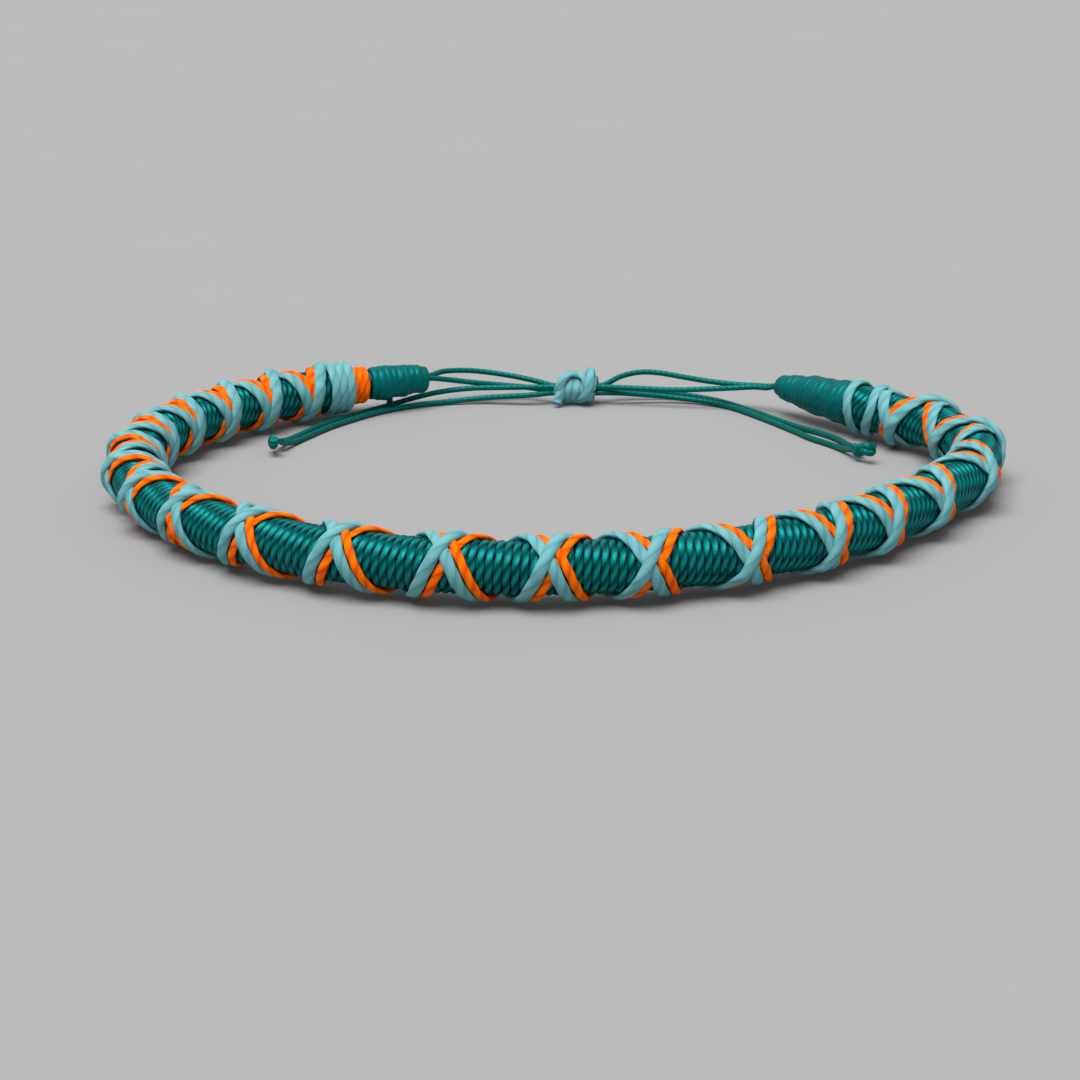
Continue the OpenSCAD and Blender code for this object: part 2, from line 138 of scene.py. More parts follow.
class Value:
    """A node's output, whose arithmetic adds Math nodes to its tree."""

    def __init__(self, board, socket):
        self.board = board
        self.socket = socket

    def __add__(self, other):
        return self.board.math("ADD", self, other)

    __radd__ = __add__

    def __sub__(self, other):
        return self.board.math("SUBTRACT", self, other)

    def __rsub__(self, other):
        return self.board.math("SUBTRACT", other, self)

    def __mul__(self, other):
        return self.board.math("MULTIPLY", self, other)

    __rmul__ = __mul__

    def __truediv__(self, other):
        return self.board.math("DIVIDE", self, other)

    def beside(self, output):
        """Another output of the same node."""
        return Value(self.board, self.socket.node.outputs[output])


class Board:
    """Adds nodes to one tree."""

    def __init__(self, tree):
        self.tree = tree

    def add(self, kind, settings=None, sockets=None, output=0):
        """A node with its settings, then its sockets' values or links; gives one of its outputs."""
        node = self.tree.nodes.new(kind)
        for name, value in (settings or {}).items():
            setattr(node, name, value)
        for name, value in (sockets or {}).items():
            if isinstance(value, Value):
                self.tree.links.new(value.socket, node.inputs[name])
            else:
                node.inputs[name].default_value = value
        return Value(self, node.outputs[output]) if len(node.outputs) else None

    def math(self, operation, *values):
        return self.add("ShaderNodeMath", {"operation": operation}, dict(enumerate(values)))

    def vector(self, operation, *values):
        return self.add("ShaderNodeVectorMath", {"operation": operation}, dict(enumerate(values)))

    def scaled(self, vector, amount):
        return self.add("ShaderNodeVectorMath", {"operation": "SCALE"},
                        {"Vector": vector, "Scale": amount})

    def joined(self, x, y, z):
        return self.add("ShaderNodeCombineXYZ", {}, {"X": x, "Y": y, "Z": z})

    def mixed(self, amount, a, b):
        return self.add("ShaderNodeMix", {"data_type": "RGBA"}, {0: amount, 6: a, 7: b}, output=2)


def smooth(x):
    """A smooth step from 0 to 1."""
    c = np.clip(x, 0, 1)
    return c * c * (3 - 2 * c)


def unit(vectors):
    """The same directions at length 1."""
    return vectors / np.linalg.norm(vectors, axis=-1, keepdims=True)


def centreline(s):
    """The band's middle and its heading at lengths s from its left end, straight beyond its ends."""
    s = np.asarray(s, float)
    at = np.array(BAND_START, float)
    heading = START_HEADING
    begun = 0.0
    x = at[0] + s * math.cos(heading)
    y = at[1] + s * math.sin(heading)
    headings = np.full(s.shape, heading)
    for radius, angle in BAND_ARCS:
        bend = math.radians(angle)
        here = s >= begun
        now = heading + (s - begun) / radius
        x = np.where(here, at[0] + radius * (np.sin(now) - math.sin(heading)), x)
        y = np.where(here, at[1] + radius * (math.cos(heading) - np.cos(now)), y)
        headings = np.where(here, now, headings)
        at = at + radius * np.array([math.sin(heading + bend) - math.sin(heading),
                                     math.cos(heading) - math.cos(heading + bend)])
        heading += bend
        begun += radius * bend
    beyond = s >= begun
    x = np.where(beyond, at[0] + (s - begun) * math.cos(heading), x)
    y = np.where(beyond, at[1] + (s - begun) * math.sin(heading), y)
    headings = np.where(beyond, heading, headings)
    return np.column_stack([x, y, np.full(s.shape, BAND_Z)]), headings


def outward_at(angle, heading):
    """The direction away from the band's middle: angle 0 faces out of the ring and 90 degrees up."""
    return np.column_stack([np.cos(angle) * np.sin(heading), -np.cos(angle) * np.cos(heading),
                            np.sin(angle)])


def wound(s, angle, radius):
    """A path round the band, with its outward directions."""
    middle, heading = centreline(s)
    outward = outward_at(angle, heading)
    return middle + np.broadcast_to(radius, s.shape)[:, None] * outward, outward


def strand(points, outward, wide=1.0, flat=1.0):
    """One strand's path along its inner face, with its shares of the width and the thickness."""
    count = len(points)
    return {"points": points, "outward": outward, "wide": np.broadcast_to(wide, count),
            "flat": np.broadcast_to(flat, count)}


def smooth_path(points, step):
    """A smooth curve through the points at even steps."""
    p = np.array(points, float)
    p = np.vstack([2 * p[0] - p[1], p, 2 * p[-1] - p[-2]])
    fine = []
    for a, b, c, d in zip(p, p[1:], p[2:], p[3:]):
        t = np.linspace(0, 1, 24, endpoint=False)[:, None]
        fine.append(0.5 * (2 * b + (c - a) * t + (2 * a - 5 * b + 4 * c - d) * t ** 2
                           + (3 * b - a - 3 * c + d) * t ** 3))
    fine = np.vstack(fine + [p[-2]])
    length = np.concatenate([[0], np.cumsum(np.linalg.norm(np.diff(fine, axis=0), axis=1))])
    at = np.linspace(0, length[-1], max(2, round(length[-1] / step)) + 1)
    return np.column_stack([np.interp(at, length, fine[:, k]) for k in range(3)])


def carried(points, first):
    """Directions square to a path that turn with it and no more."""
    along = unit(np.gradient(points, axis=0))
    normals = [unit(first - np.dot(first, along[0]) * along[0])]
    for direction in along[1:]:
        normal = normals[-1] - np.dot(normals[-1], direction) * direction
        normals.append(unit(normal))
    return np.array(normals)


def round_cord(points, diameter, step, wide=1.0):
    """A round cord's strand whose middle runs through the points."""
    middle = smooth_path(points, step)
    outward = carried(middle, np.array([0.0, 0.0, 1.0]))
    share = np.broadcast_to(wide, len(middle))
    return strand(middle - (diameter / 2 * share)[:, None] * outward, outward, share, share)


def cord_route(exit_s, side, before, lane_angle, after, tail_knot):
    """A cord's points from its binding to the knot on its tail, whichever is the left one."""
    from_left = exit_s < 0
    exit_at, heading = centreline([exit_s])
    out = heading[0] + math.pi if from_left else heading[0]
    start = exit_at[0] + side * CORD_SIDE * np.array([-math.sin(out), math.cos(out), 0])
    face, turned, _ = tail_knot
    turned = math.radians(turned)
    end = np.array(face) + side * CORD_SIDE * np.array([-math.sin(turned), math.cos(turned), 0])
    share = np.linspace(0, 1, 5)
    angle = math.radians(lane_angle) - math.pi / 2 * share
    radius = CORD_SIDE * math.sqrt(2)
    lane = np.array(SLIDING_KNOT_AT) + np.column_stack([
        (share - 0.5) * SLIDING_KNOT_LENGTH, radius * np.cos(angle), radius * np.sin(angle)])
    points = [start] if from_left else [end]
    points += [*before, *lane, *after]
    points += [end] if from_left else [start]
    return points if from_left else points[::-1]


def laid_strand_tree():
    """Geometry nodes: skins each path with a strand of twisted plies."""
    tree = bpy.data.node_groups.new("Laid strand", "GeometryNodeTree")
    tree.interface.new_socket("Geometry", in_out="INPUT", socket_type="NodeSocketGeometry")
    for name, kind, value in (("Width", "NodeSocketFloat", 0.001),
                              ("Thickness", "NodeSocketFloat", 0.0005),
                              ("Plies", "NodeSocketFloat", 3.0),
                              ("Lay", "NodeSocketFloat", 0.003),
                              ("Groove", "NodeSocketFloat", 0.1),
                              ("Sides", "NodeSocketInt", 12),
                              ("Material", "NodeSocketMaterial", None)):
        socket = tree.interface.new_socket(name, in_out="INPUT", socket_type=kind)
        if value is not None:
            socket.default_value = value
    tree.interface.new_socket("Geometry", in_out="OUTPUT", socket_type="NodeSocketGeometry")
    board = Board(tree)
    path = board.add("NodeGroupInput")

    def kept(geometry, name, value, kind="FLOAT_VECTOR"):
        return board.add("GeometryNodeStoreNamedAttribute", {"data_type": kind, "domain": "POINT"},
                         {"Geometry": geometry, "Name": name, "Value": value})

    def read(name, kind="FLOAT_VECTOR"):
        return board.add("GeometryNodeInputNamedAttribute", {"data_type": kind}, {"Name": name})

    curve = board.add("GeometryNodeMeshToCurve", {}, {"Mesh": path})
    tangent = board.add("GeometryNodeInputTangent")
    sideways = board.vector("NORMALIZE", board.vector("CROSS_PRODUCT", tangent, read("outward")))
    curve = kept(curve, "middle", board.add("GeometryNodeInputPosition"))
    curve = kept(curve, "sideways", sideways)
    curve = kept(curve, "run", board.add("GeometryNodeSplineParameter", output="Length"), "FLOAT")
    circle = board.add("GeometryNodeCurvePrimitiveCircle", {},
                       {"Resolution": path.beside("Sides"), "Radius": 1.0})
    around = board.add("GeometryNodeInputIndex") * (2 * math.pi) / path.beside("Sides")
    circle = kept(circle, "around", around + math.pi / 2, "FLOAT")
    skin = board.add("GeometryNodeCurveToMesh", {},
                     {"Curve": curve, "Profile Curve": circle, "Fill Caps": True})
    around = read("around", "FLOAT")
    run = read("run", "FLOAT")
    cosine = board.math("COSINE", around)
    sine = board.math("SINE", around)
    twist = around + run * (2 * math.pi) / path.beside("Lay")
    ply = board.math("ABSOLUTE", board.math("COSINE", twist * path.beside("Plies") / 2))
    ply_radius = 1 - path.beside("Groove") * (1 - board.math("SQRT", ply))
    across = path.beside("Width") / 2 * read("wide", "FLOAT") * ply_radius * cosine
    lifted = path.beside("Thickness") / 2 * read("flat", "FLOAT") * (1 + ply_radius * sine)
    place = board.vector("ADD", read("middle"), board.scaled(read("sideways"), across))
    place = board.vector("ADD", place, board.scaled(read("outward"), lifted))
    skin = board.add("GeometryNodeSetPosition", {}, {"Geometry": skin, "Position": place})
    skin = kept(skin, "section", board.joined(cosine, sine, run))
    for name in ("outward", "middle", "sideways", "run", "around", "wide", "flat"):
        skin = board.add("GeometryNodeRemoveAttribute", {}, {"Geometry": skin, "Name": name})
    skin = board.add("GeometryNodeSetShadeSmooth", {}, {"Geometry": skin})
    skin = board.add("GeometryNodeRealizeInstances", {}, {"Geometry": skin})
    skin = board.add("GeometryNodeSetMaterial", {},
                     {"Geometry": skin, "Material": path.beside("Material")})
    board.add("NodeGroupOutput", {}, {"Geometry": skin})
    return tree


def laid_piece(name, strands, yarn, material, nodes):
    """One plain mesh of laid strands, which replaces its CAD nodes and rides on the bracelet."""
    tree = bpy.data.node_groups.get("Laid strand") or laid_strand_tree()
    mesh = bpy.data.meshes.new(name)
    points = np.vstack([s["points"] for s in strands]) * MM
    edges = []
    begun = 0
    for s in strands:
        first = np.arange(begun, begun + len(s["points"]) - 1)
        edges.append(np.column_stack([first, first + 1]))
        begun += len(s["points"])
    mesh.from_pydata(points.tolist(), np.vstack(edges).tolist(), [])
    outward = mesh.attributes.new("outward", "FLOAT_VECTOR", "POINT")
    outward.data.foreach_set("vector", np.vstack([s["outward"] for s in strands]).ravel())
    for share in ("wide", "flat"):
        attribute = mesh.attributes.new(share, "FLOAT", "POINT")
        attribute.data.foreach_set("value", np.concatenate([s[share] for s in strands]))
    piece = bpy.data.objects.new(name.replace(" ", "_"), mesh)
    bpy.context.scene.collection.objects.link(piece)
    modifier = piece.modifiers.new("Laid strand", "NODES")
    modifier.node_group = tree
    sizes = {"Width": yarn["width"] * MM, "Thickness": yarn["thickness"] * MM,
             "Plies": yarn["plies"], "Lay": yarn["lay"] * MM, "Groove": yarn["groove"],
             "Sides": yarn["sides"], "Material": material}
    for socket in tree.interface.items_tree:
        if socket.in_out == "INPUT" and socket.name in sizes:
            modifier[socket.identifier] = sizes[socket.name]
    seen = bpy.context.evaluated_depsgraph_get()
    plain = bpy.data.meshes.new_from_object(piece.evaluated_get(seen),
                                            preserve_all_data_layers=True, depsgraph=seen)
    piece.modifiers.remove(modifier)
    piece.data = plain
    bpy.data.meshes.remove(mesh)
    plain.name = name
    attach(piece, "root")
    if nodes:
        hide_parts(*nodes)
    return piece


def yarn_material(name, light, dark, yarn, look):
    """Twisted waxed thread: plies with painted shade in the valleys between them and on their sides
    and underside, and fine fibres along them.
    """
    material = bpy.data.materials.get(name)
    if material:
        return material
    glint = tuple(0.1 + 0.9 * c / max(light) for c in light)
    material = bpy.data.materials.new(name)
    material.use_nodes = True
    material.node_tree.nodes.clear()
    board = Board(material.node_tree)
    section = board.add("ShaderNodeAttribute", {"attribute_name": "section"}, output="Vector")
    across = board.add("ShaderNodeSeparateXYZ", {}, {"Vector": section}, output="X")
    upward = across.beside("Y")
    run = across.beside("Z")
    around = board.math("ARCTAN2", upward, across)
    twist = around + run * (2 * math.pi / (yarn["lay"] * MM))
    ply = board.math("ABSOLUTE", board.math("COSINE", twist * (yarn["plies"] / 2)))
    ply = board.math("POWER", ply, look["crest"])
    fibre_twist = around + run * (math.pi / (yarn["lay"] * MM))
    fibre_place = board.joined(board.math("COSINE", fibre_twist) * look["fibres"],
                               board.math("SINE", fibre_twist) * look["fibres"], run * 700)
    fibres = board.add("ShaderNodeTexNoise", {},
                       {"Vector": fibre_place, "Scale": 1.0, "Detail": 4.0, "Roughness": 0.65})
    place = board.add("ShaderNodeTexCoord", output="Object")
    cloudy = board.add("ShaderNodeTexNoise", {}, {"Vector": place, "Scale": 260.0, "Detail": 2.0})
    # Painted shade: the colour darkens towards each strand's sides and the face it lies on, where the
    # turns shade each other
    side_shade = board.add("ShaderNodeMapRange", {"interpolation_type": "SMOOTHSTEP"},
                     {"Value": upward, "From Min": look["side_shade"][0], "From Max": look["side_shade"][1],
                      "To Min": look["side_shade"][2], "To Max": 1.0})
    # Tone of the colour: painted shade in the valleys between plies, random fibre and cloudy tone,
    # then the painted side shade
    shade = ply * look["ply"] + fibres * look["fibre"] + cloudy * 0.4
    shade = (shade - 0.5 * look["fibre"] - 0.2 + (1 - look["ply"]) * 0.8) * side_shade
    colour = board.mixed(board.math("MINIMUM", board.math("MAXIMUM", shade, 0.0), 1.0),
                         (*dark, 1.0), (*light, 1.0))
    height = ply + fibres * 0.3
    bump = board.add("ShaderNodeBump", {},
                     {"Strength": 0.9, "Distance": look["relief"] * MM, "Height": height})
    rough = look["roughness"] + 0.25 * (fibres - 0.5)
    surface = board.add("ShaderNodeBsdfPrincipled", {},
                        {"Base Color": colour, "Roughness": rough, "Normal": bump,
                         "Specular IOR Level": look["shine"], "Metallic": look["metal"],
                         "Specular Tint": (*glint, 1.0)})
    board.add("ShaderNodeOutputMaterial", {}, {"Surface": surface})
    return material


def floor_material(colour):
    """A plain matt surface with the faintest mottling."""
    material = bpy.data.materials.new("Pale floor")
    material.use_nodes = True
    material.node_tree.nodes.clear()
    board = Board(material.node_tree)
    place = board.add("ShaderNodeTexCoord", output="Object")
    mottle = board.add("ShaderNodeTexNoise", {}, {"Vector": place, "Scale": 30.0, "Detail": 3.0})
    darker = tuple(0.96 * c for c in colour)
    shade = board.mixed(mottle, (*darker, 1.0), (*colour, 1.0))
    surface = board.add("ShaderNodeBsdfPrincipled", {},
                        {"Base Color": shade, "Roughness": 0.75, "Specular IOR Level": 0.2})
    board.add("ShaderNodeOutputMaterial", {}, {"Surface": surface})
    return material


# The yarns, in millimetres: plies and lay are those of their twist
THREAD = {"width": 0.68, "thickness": 0.5, "plies": 3, "lay": 3.2, "groove": 0.22, "sides": 12}
AQUA = {"width": 1.0, "thickness": 0.52, "plies": 3, "lay": 4.2, "groove": 0.16, "sides": 24}
ORANGE = {"width": 0.7, "thickness": 0.46, "plies": 2, "lay": 2.4, "groove": 0.16, "sides": 16}
BINDING = {"width": 1.05, "thickness": 0.5, "plies": 2, "lay": 3.0, "groove": 0.02, "sides": 12}
CORD = {"width": 0.55, "thickness": 0.55, "plies": 3, "lay": 1.9, "groove": 0.03, "sides": 14}
# How each yarn's surface looks: how peaked its plies are, how much their painted valley shade and
# the fibres' tone shade it, where painted shade darkens its sides, and its relief in millimetres
THREAD_LOOK = {"crest": 1.4, "ply": 0.95, "fibres": 7.0, "fibre": 1.4, "side_shade": (-0.1, 0.8, 0.2),
               "relief": 0.12, "roughness": 0.4, "shine": 0.5, "metal": 0.4}
AQUA_LOOK = {"crest": 0.9, "ply": 0.5, "fibres": 9.0, "fibre": 1.6, "side_shade": (-0.6, 0.4, 0.45),
             "relief": 0.08, "roughness": 0.6, "shine": 0.2, "metal": 0.0}
ORANGE_LOOK = {"crest": 0.9, "ply": 0.7, "fibres": 8.0, "fibre": 1.4, "side_shade": (-0.6, 0.4, 0.4),
               "relief": 0.08, "roughness": 0.6, "shine": 0.15, "metal": 0.0}
CORD_LOOK = {"crest": 0.7, "ply": 0.3, "fibres": 4.0, "fibre": 0.5, "side_shade": (-2.0, -1.5, 1.0),
             "relief": 0.03, "roughness": 0.42, "shine": 0.4, "metal": 0.2}
BINDING_LOOK = {"crest": 0.5, "ply": 0.15, "fibres": 5.0, "fibre": 0.9, "side_shade": (-0.1, 0.8, 0.3),
                "relief": 0.04, "roughness": 0.42, "shine": 0.35, "metal": 0.3}
# The wraps' strands are pulled taut round the front and spread towards the sides: by these shares,
# from a length beside the front's middle on and over some more
SIDE_SWELL = {"aqua": 0.22, "orange": 0.4}
FRONT_MIDDLE = 80
FRONT_HALF = 22
SWELL_OVER = 18
# The two aqua turns before the right binding, which touch above and below: length along the band
# and angle round it
RIGHT_BAND = ((152.2, -90), (151.6, -20), (151.0, 40), (150.6, 72), (150.1, 115), (149.7, 165),
              (150.3, 207), (150.9, 235), (151.7, 280), (152.7, 335), (153.3, 400), (153.2, 444),
              (152.8, 501), (152.4, 543), (152.3, 570), (152.4, 609), (152.6, 660))
# The bindings' shapes: radius at each length from the band's end towards the cords
LEFT_PROFILE = ((0.0, 1.5), (0.8, 1.62), (1.7, 1.75), (2.7, 1.58), (3.75, 1.6), (4.75, 1.42),
                (5.6, 1.42), (6.0, 1.15), (6.2, 0.85))
RIGHT_PROFILE = ((-0.9, 2.12), (0.8, 2.12), (1.8, 1.93), (3.0, 1.88), (4.3, 1.87), (5.6, 1.58),
                 (7.1, 1.4), (8.4, 1.16), (8.9, 0.95), (9.2, 0.7))


def turn_s(t):
    even = FIRST_TURN_S + MEAN_PITCH * t - CROWDING * np.sin(2 * np.pi * t / TURNS_IN_ALL)
    even = even + WIDENING * smooth((t - WIDENING_FROM) / WIDENING_OVER)
    return even + sum(by * np.exp(-((t - turn) / spread) ** 2) for turn, by, spread in SLIPS)


def pitch_at(t):
    even = MEAN_PITCH - CROWDING * 2 * np.pi / TURNS_IN_ALL * np.cos(2 * np.pi * t / TURNS_IN_ALL)
    share = np.clip((t - WIDENING_FROM) / WIDENING_OVER, 0, 1)
    even = even + WIDENING / WIDENING_OVER * 6 * share * (1 - share)
    return even + sum(-2 * by * (t - turn) / spread ** 2 * np.exp(-((t - turn) / spread) ** 2)
                      for turn, by, spread in SLIPS)


def angle_at(t, way):
    """Angle round the band at turn t; the crossings drift slowly round it."""
    swing = np.sin(2 * np.pi * (turn_s(t) - DRIFT_START) / DRIFT_LENGTH)
    outer = (1 + np.cos(2 * np.pi * t)) / 2
    drift = (outer * (OUTER_DRIFT[0] + OUTER_DRIFT[1] * swing)
             + (1 - outer) * (INNER_DRIFT[0] + INNER_DRIFT[1] * swing))
    return way * 2 * np.pi * t + np.radians(drift)


def swap_side(t):
    """The falling pair changes places near one turn: from -1 to 1."""
    return 2 * smooth((t - SWAP_TURN + SWAP_HALF) / (2 * SWAP_HALF)) - 1


def swapping(t):
    return 1 - smooth((np.abs(t - SWAP_TURN) - 1.2 * SWAP_HALF) / (0.8 * SWAP_HALF))


def crossing(t, own_side, own_width, other_side, other_width):
    """How far a strand lies on a strand of the other pair: 1 on it, then down to 0."""
    lean = np.arctan(pitch_at(t) / (2 * np.pi * SOLID_SEAT))
    x = t - (other_side - own_side) / (2 * pitch_at(t))
    away = np.abs(x - np.round(2 * x) / 2) * 2 * np.pi * SOLID_SEAT / np.cos(lean)
    half = (other_width + own_width * np.cos(2 * lean)) / 2 / np.sin(2 * lean) + CROSSING_ROOM
    return 1 - smooth((away - half) / RAMP)


def wrap_strand(kind, aqua, orange, first, last):
    """The path of one of the four criss-cross strands."""
    t = np.arange(first, last, 0.0105)
    rise = PAIR_STEP / 2
    fall_aqua = -rise * swap_side(t)
    fall_orange = rise * swap_side(t)
    over_orange = 0.5 * orange["thickness"]
    over_aqua = 0.5 * aqua["thickness"]
    a = aqua["width"]
    o = orange["width"]
    if kind == "orange_rise":
        way, side = 1, np.full(t.shape, rise)
        under = [crossing(t, rise, o, fall_orange, o), crossing(t, rise, o, fall_aqua, a)]
        lift = np.zeros(t.shape)
    elif kind == "orange_fall":
        way, side = -1, fall_orange
        under = [crossing(t, side, o, rise, o), crossing(t, side, o, -rise, a), swapping(t)]
        lift = over_orange * under[0]
    elif kind == "aqua_fall":
        way, side = -1, fall_aqua
        under = [crossing(t, side, a, rise, o), crossing(t, side, a, -rise, a), swapping(t)]
        lift = over_orange * np.maximum(under[0], swapping(t))
    else:
        way, side = 1, np.full(t.shape, -rise)
        under = [crossing(t, -rise, a, fall_orange, o), crossing(t, -rise, a, fall_aqua, a)]
        lift = np.maximum(2 * over_orange * under[0], (over_orange + over_aqua) * under[1])
    flat = 1 - (1 - PRESSED) * np.max(under, axis=0)
    sink = 0.5 * (1 - smooth((t - first) / 0.2)) + 0.5 * (1 - smooth((last - t) / 0.2))
    own = (aqua if "aqua" in kind else orange)["thickness"]
    fill = 0.85 * lift
    from_front = np.abs(turn_s(t) - FRONT_MIDDLE) - FRONT_HALF
    wide = 1 + SIDE_SWELL["aqua" if "aqua" in kind else "orange"] * smooth(from_front / SWELL_OVER)
    points, outward = wound(turn_s(t) + side, angle_at(t, way), WRAP_SEAT + lift - fill - sink)
    return strand(points, outward, wide, flat + fill / own)


def winding_strands(pitch, thickness):
    """The close turns of thread, and the core under them."""
    begin = WINDING_FROM + 0.15
    turns = (BAND_LENGTH - begin) / pitch
    angle = np.linspace(0, 2 * np.pi * turns, round(30 * turns))
    s = begin + angle / (2 * np.pi) * pitch
    points, outward = wound(s, angle, SEAT - thickness)
    core_s = np.arange(0, BAND_LENGTH, 1.0)
    middle, _ = centreline(core_s)
    up = np.tile([0.0, 0.0, 1.0], (len(core_s), 1))
    radius = np.where(core_s < WINDING_FROM, BARE_CORE_RADIUS, CORE_RADIUS)
    core = strand(middle - radius[:, None] * up, up, 2 * radius / THREAD["width"],
                  2 * radius / thickness)
    return [strand(points, outward), core]


def end_band_strand(middle, turns, pitch, radius, first_angle):
    """Close turns near an end of the band, tucked in at both ends."""
    past = 0.12
    half = (turns - 1) / 2 * pitch + 0.3
    t = np.linspace(-past, turns + past, round(90 * turns))
    s = np.clip(middle + (t - turns / 2) * pitch, middle - half, middle + half)
    tucked = (1 - smooth((t + past) / 0.15)) + (1 - smooth((turns + past - t) / 0.15))
    points, outward = wound(s, first_angle + 2 * np.pi * t, radius - 0.3 * tucked)
    return strand(points, outward, 1 - 0.3 * tucked, 1 - 0.3 * tucked)


def spread_strand(places, radius):
    """Turns laid apart: through places given by their length along the band and angle round it."""
    at = smooth_path([(s, math.radians(a) * radius, 0) for s, a in places], 0.1)
    share = np.linspace(0, 1, len(at))
    tucked = (1 - smooth(share / 0.05)) + (1 - smooth((1 - share) / 0.05))
    points, outward = wound(at[:, 0], at[:, 1] / radius, radius - 0.4 * tucked)
    return strand(points, outward)


def binding_strands(start, way, profile, lump, first_angle):
    """Close turns of cord over a core; the profile has the radius at lengths from the band."""
    lump_length = 2.1
    core_depth = 0.28
    at, radii = np.array(profile).T
    pitch = 0.6 * BINDING["width"]
    turns = (at[-1] - at[0] - pitch) / pitch
    t = np.linspace(0, turns, round(32 * turns))
    along = at[0] + pitch / 2 + t * pitch
    angle = first_angle + way * 2 * np.pi * t
    crest = np.interp(along, at, radii) + lump * np.cos(2 * np.pi * along / lump_length - angle)
    tucked = (1 - smooth(t / 0.1)) + (1 - smooth((turns - t) / 0.1))
    points, outward = wound(start + way * along, angle, crest - BINDING["thickness"] - 0.2 * tucked)
    core_at = np.linspace(at[0] + 0.1, at[-1] - 0.05, 24)
    core_r = np.interp(core_at, at, radii) - core_depth
    middle, _ = centreline(start + way * core_at)
    up = np.tile([0.0, 0.0, 1.0], (len(core_at), 1))
    core = strand(middle - core_r[:, None] * up, up, 2 * core_r / BINDING["width"],
                  2 * core_r / BINDING["thickness"])
    return [strand(points, outward), core]


def knot_strand(places, diameter, thickness, yarn):
    """A strand through places given round the sliding knot's line: along, angle, radius."""
    at = smooth_path([(x, r * math.cos(math.radians(a)), r * math.sin(math.radians(a)))
                      for x, a, r in places], 0.1)
    radial = unit(np.column_stack([np.zeros(len(at)), at[:, 1:]]))
    outward = np.column_stack([radial[:, 0], -radial[:, 1], radial[:, 2]])
    points = np.column_stack([at[:, 0], -at[:, 1], at[:, 2]]) + np.array(SLIDING_KNOT_AT)
    along = unit(np.gradient(points, axis=0))
    outward = unit(outward - np.sum(outward * along, axis=1)[:, None] * along)
    flat = thickness / yarn["thickness"]
    return strand(points - thickness / 2 * outward, outward, diameter / yarn["width"], flat)


def tail_knot_strands(face, heading, rise):
    """An overhand knot at the end of two tails, with their cut ends: a trefoil curve left open."""
    t = np.linspace(-2.02, 2.02, 60)
    shape = np.column_stack([t ** 5 / 5 - 2 * t, t ** 3 - 3 * t, t ** 4 - 4 * t ** 2])
    shape = shape * np.array([0.36, 0.24, 0.16])
    shape[:, 2] += 0.3
    shape[:, 0] += 1.1
    a = math.radians(heading)
    b = math.radians(rise)
    forward = np.array([math.cos(a) * math.cos(b), math.sin(a) * math.cos(b), math.sin(b)])
    aside = np.array([-math.sin(a), math.cos(a), 0.0])
    up = np.cross(forward, aside)
    points = np.array(face) + shape[:, :1] * forward + shape[:, 1:2] * aside + shape[:, 2:] * up
    points[:, 2] = np.maximum(points[:, 2], 0.35)
    return [round_cord(points, CORD["width"], 0.1, 1.24)]


class BandSettings(bpy.types.PropertyGroup):
    """The thread winding of the band."""

    pitch: bpy.props.FloatProperty(
        name="Thread Pitch", description="Distance from one turn of the winding to the next",
        default=0.62 * MM, min=0.3 * MM, max=0.8 * MM, precision=5, subtype="DISTANCE", unit="LENGTH")
    teal: bpy.props.FloatVectorProperty(
        name="Teal", description="Colour of the winding thread where the light falls on it",
        default=(0.001, 0.22, 0.21), min=0.0, max=1.0, subtype="COLOR")


class WrapSettings(bpy.types.PropertyGroup):
    """The criss-cross wraps and the end bands."""

    aqua: bpy.props.FloatVectorProperty(
        name="Aqua", description="Colour of the broad strands",
        default=(0.17, 0.42, 0.445), min=0.0, max=1.0, subtype="COLOR")
    orange: bpy.props.FloatVectorProperty(
        name="Orange", description="Colour of the narrow strands",
        default=(1.0, 0.19, 0.002), min=0.0, max=1.0, subtype="COLOR")


class ClosureSettings(bpy.types.PropertyGroup):
    """The bindings, cords and knots."""

    cord_diameter: bpy.props.FloatProperty(
        name="Cord Diameter", description="Diameter of a closure cord",
        default=0.55 * MM, min=0.4 * MM, max=0.8 * MM, precision=5, subtype="DISTANCE", unit="LENGTH")
    cord: bpy.props.FloatVectorProperty(
        name="Cord Teal", description="Colour of the closure cords",
        default=(0.001, 0.13, 0.114), min=0.0, max=1.0, subtype="COLOR")
    binding: bpy.props.FloatVectorProperty(
        name="Binding Teal", description="Colour of the two bindings",
        default=(0.001, 0.14, 0.142), min=0.0, max=1.0, subtype="COLOR")


class StudioSettings(bpy.types.PropertyGroup):
    """The floor and the lights."""

    floor: bpy.props.FloatVectorProperty(
        name="Floor", description="Colour of the floor",
        default=(0.305, 0.305, 0.305), min=0.0, max=1.0, subtype="COLOR")
    key: bpy.props.FloatProperty(
        name="Key Light", description="Strength of the soft light above", default=3.9, min=0.0)
    softness: bpy.props.FloatProperty(
        name="Softness", description="How wide the light above is, seen from the floor",
        default=math.radians(50), min=0.0, max=math.radians(120), subtype="ANGLE")
    room: bpy.props.FloatProperty(
        name="Room Light", description="Strength of the even light from all round", default=0.45,
        min=0.0)


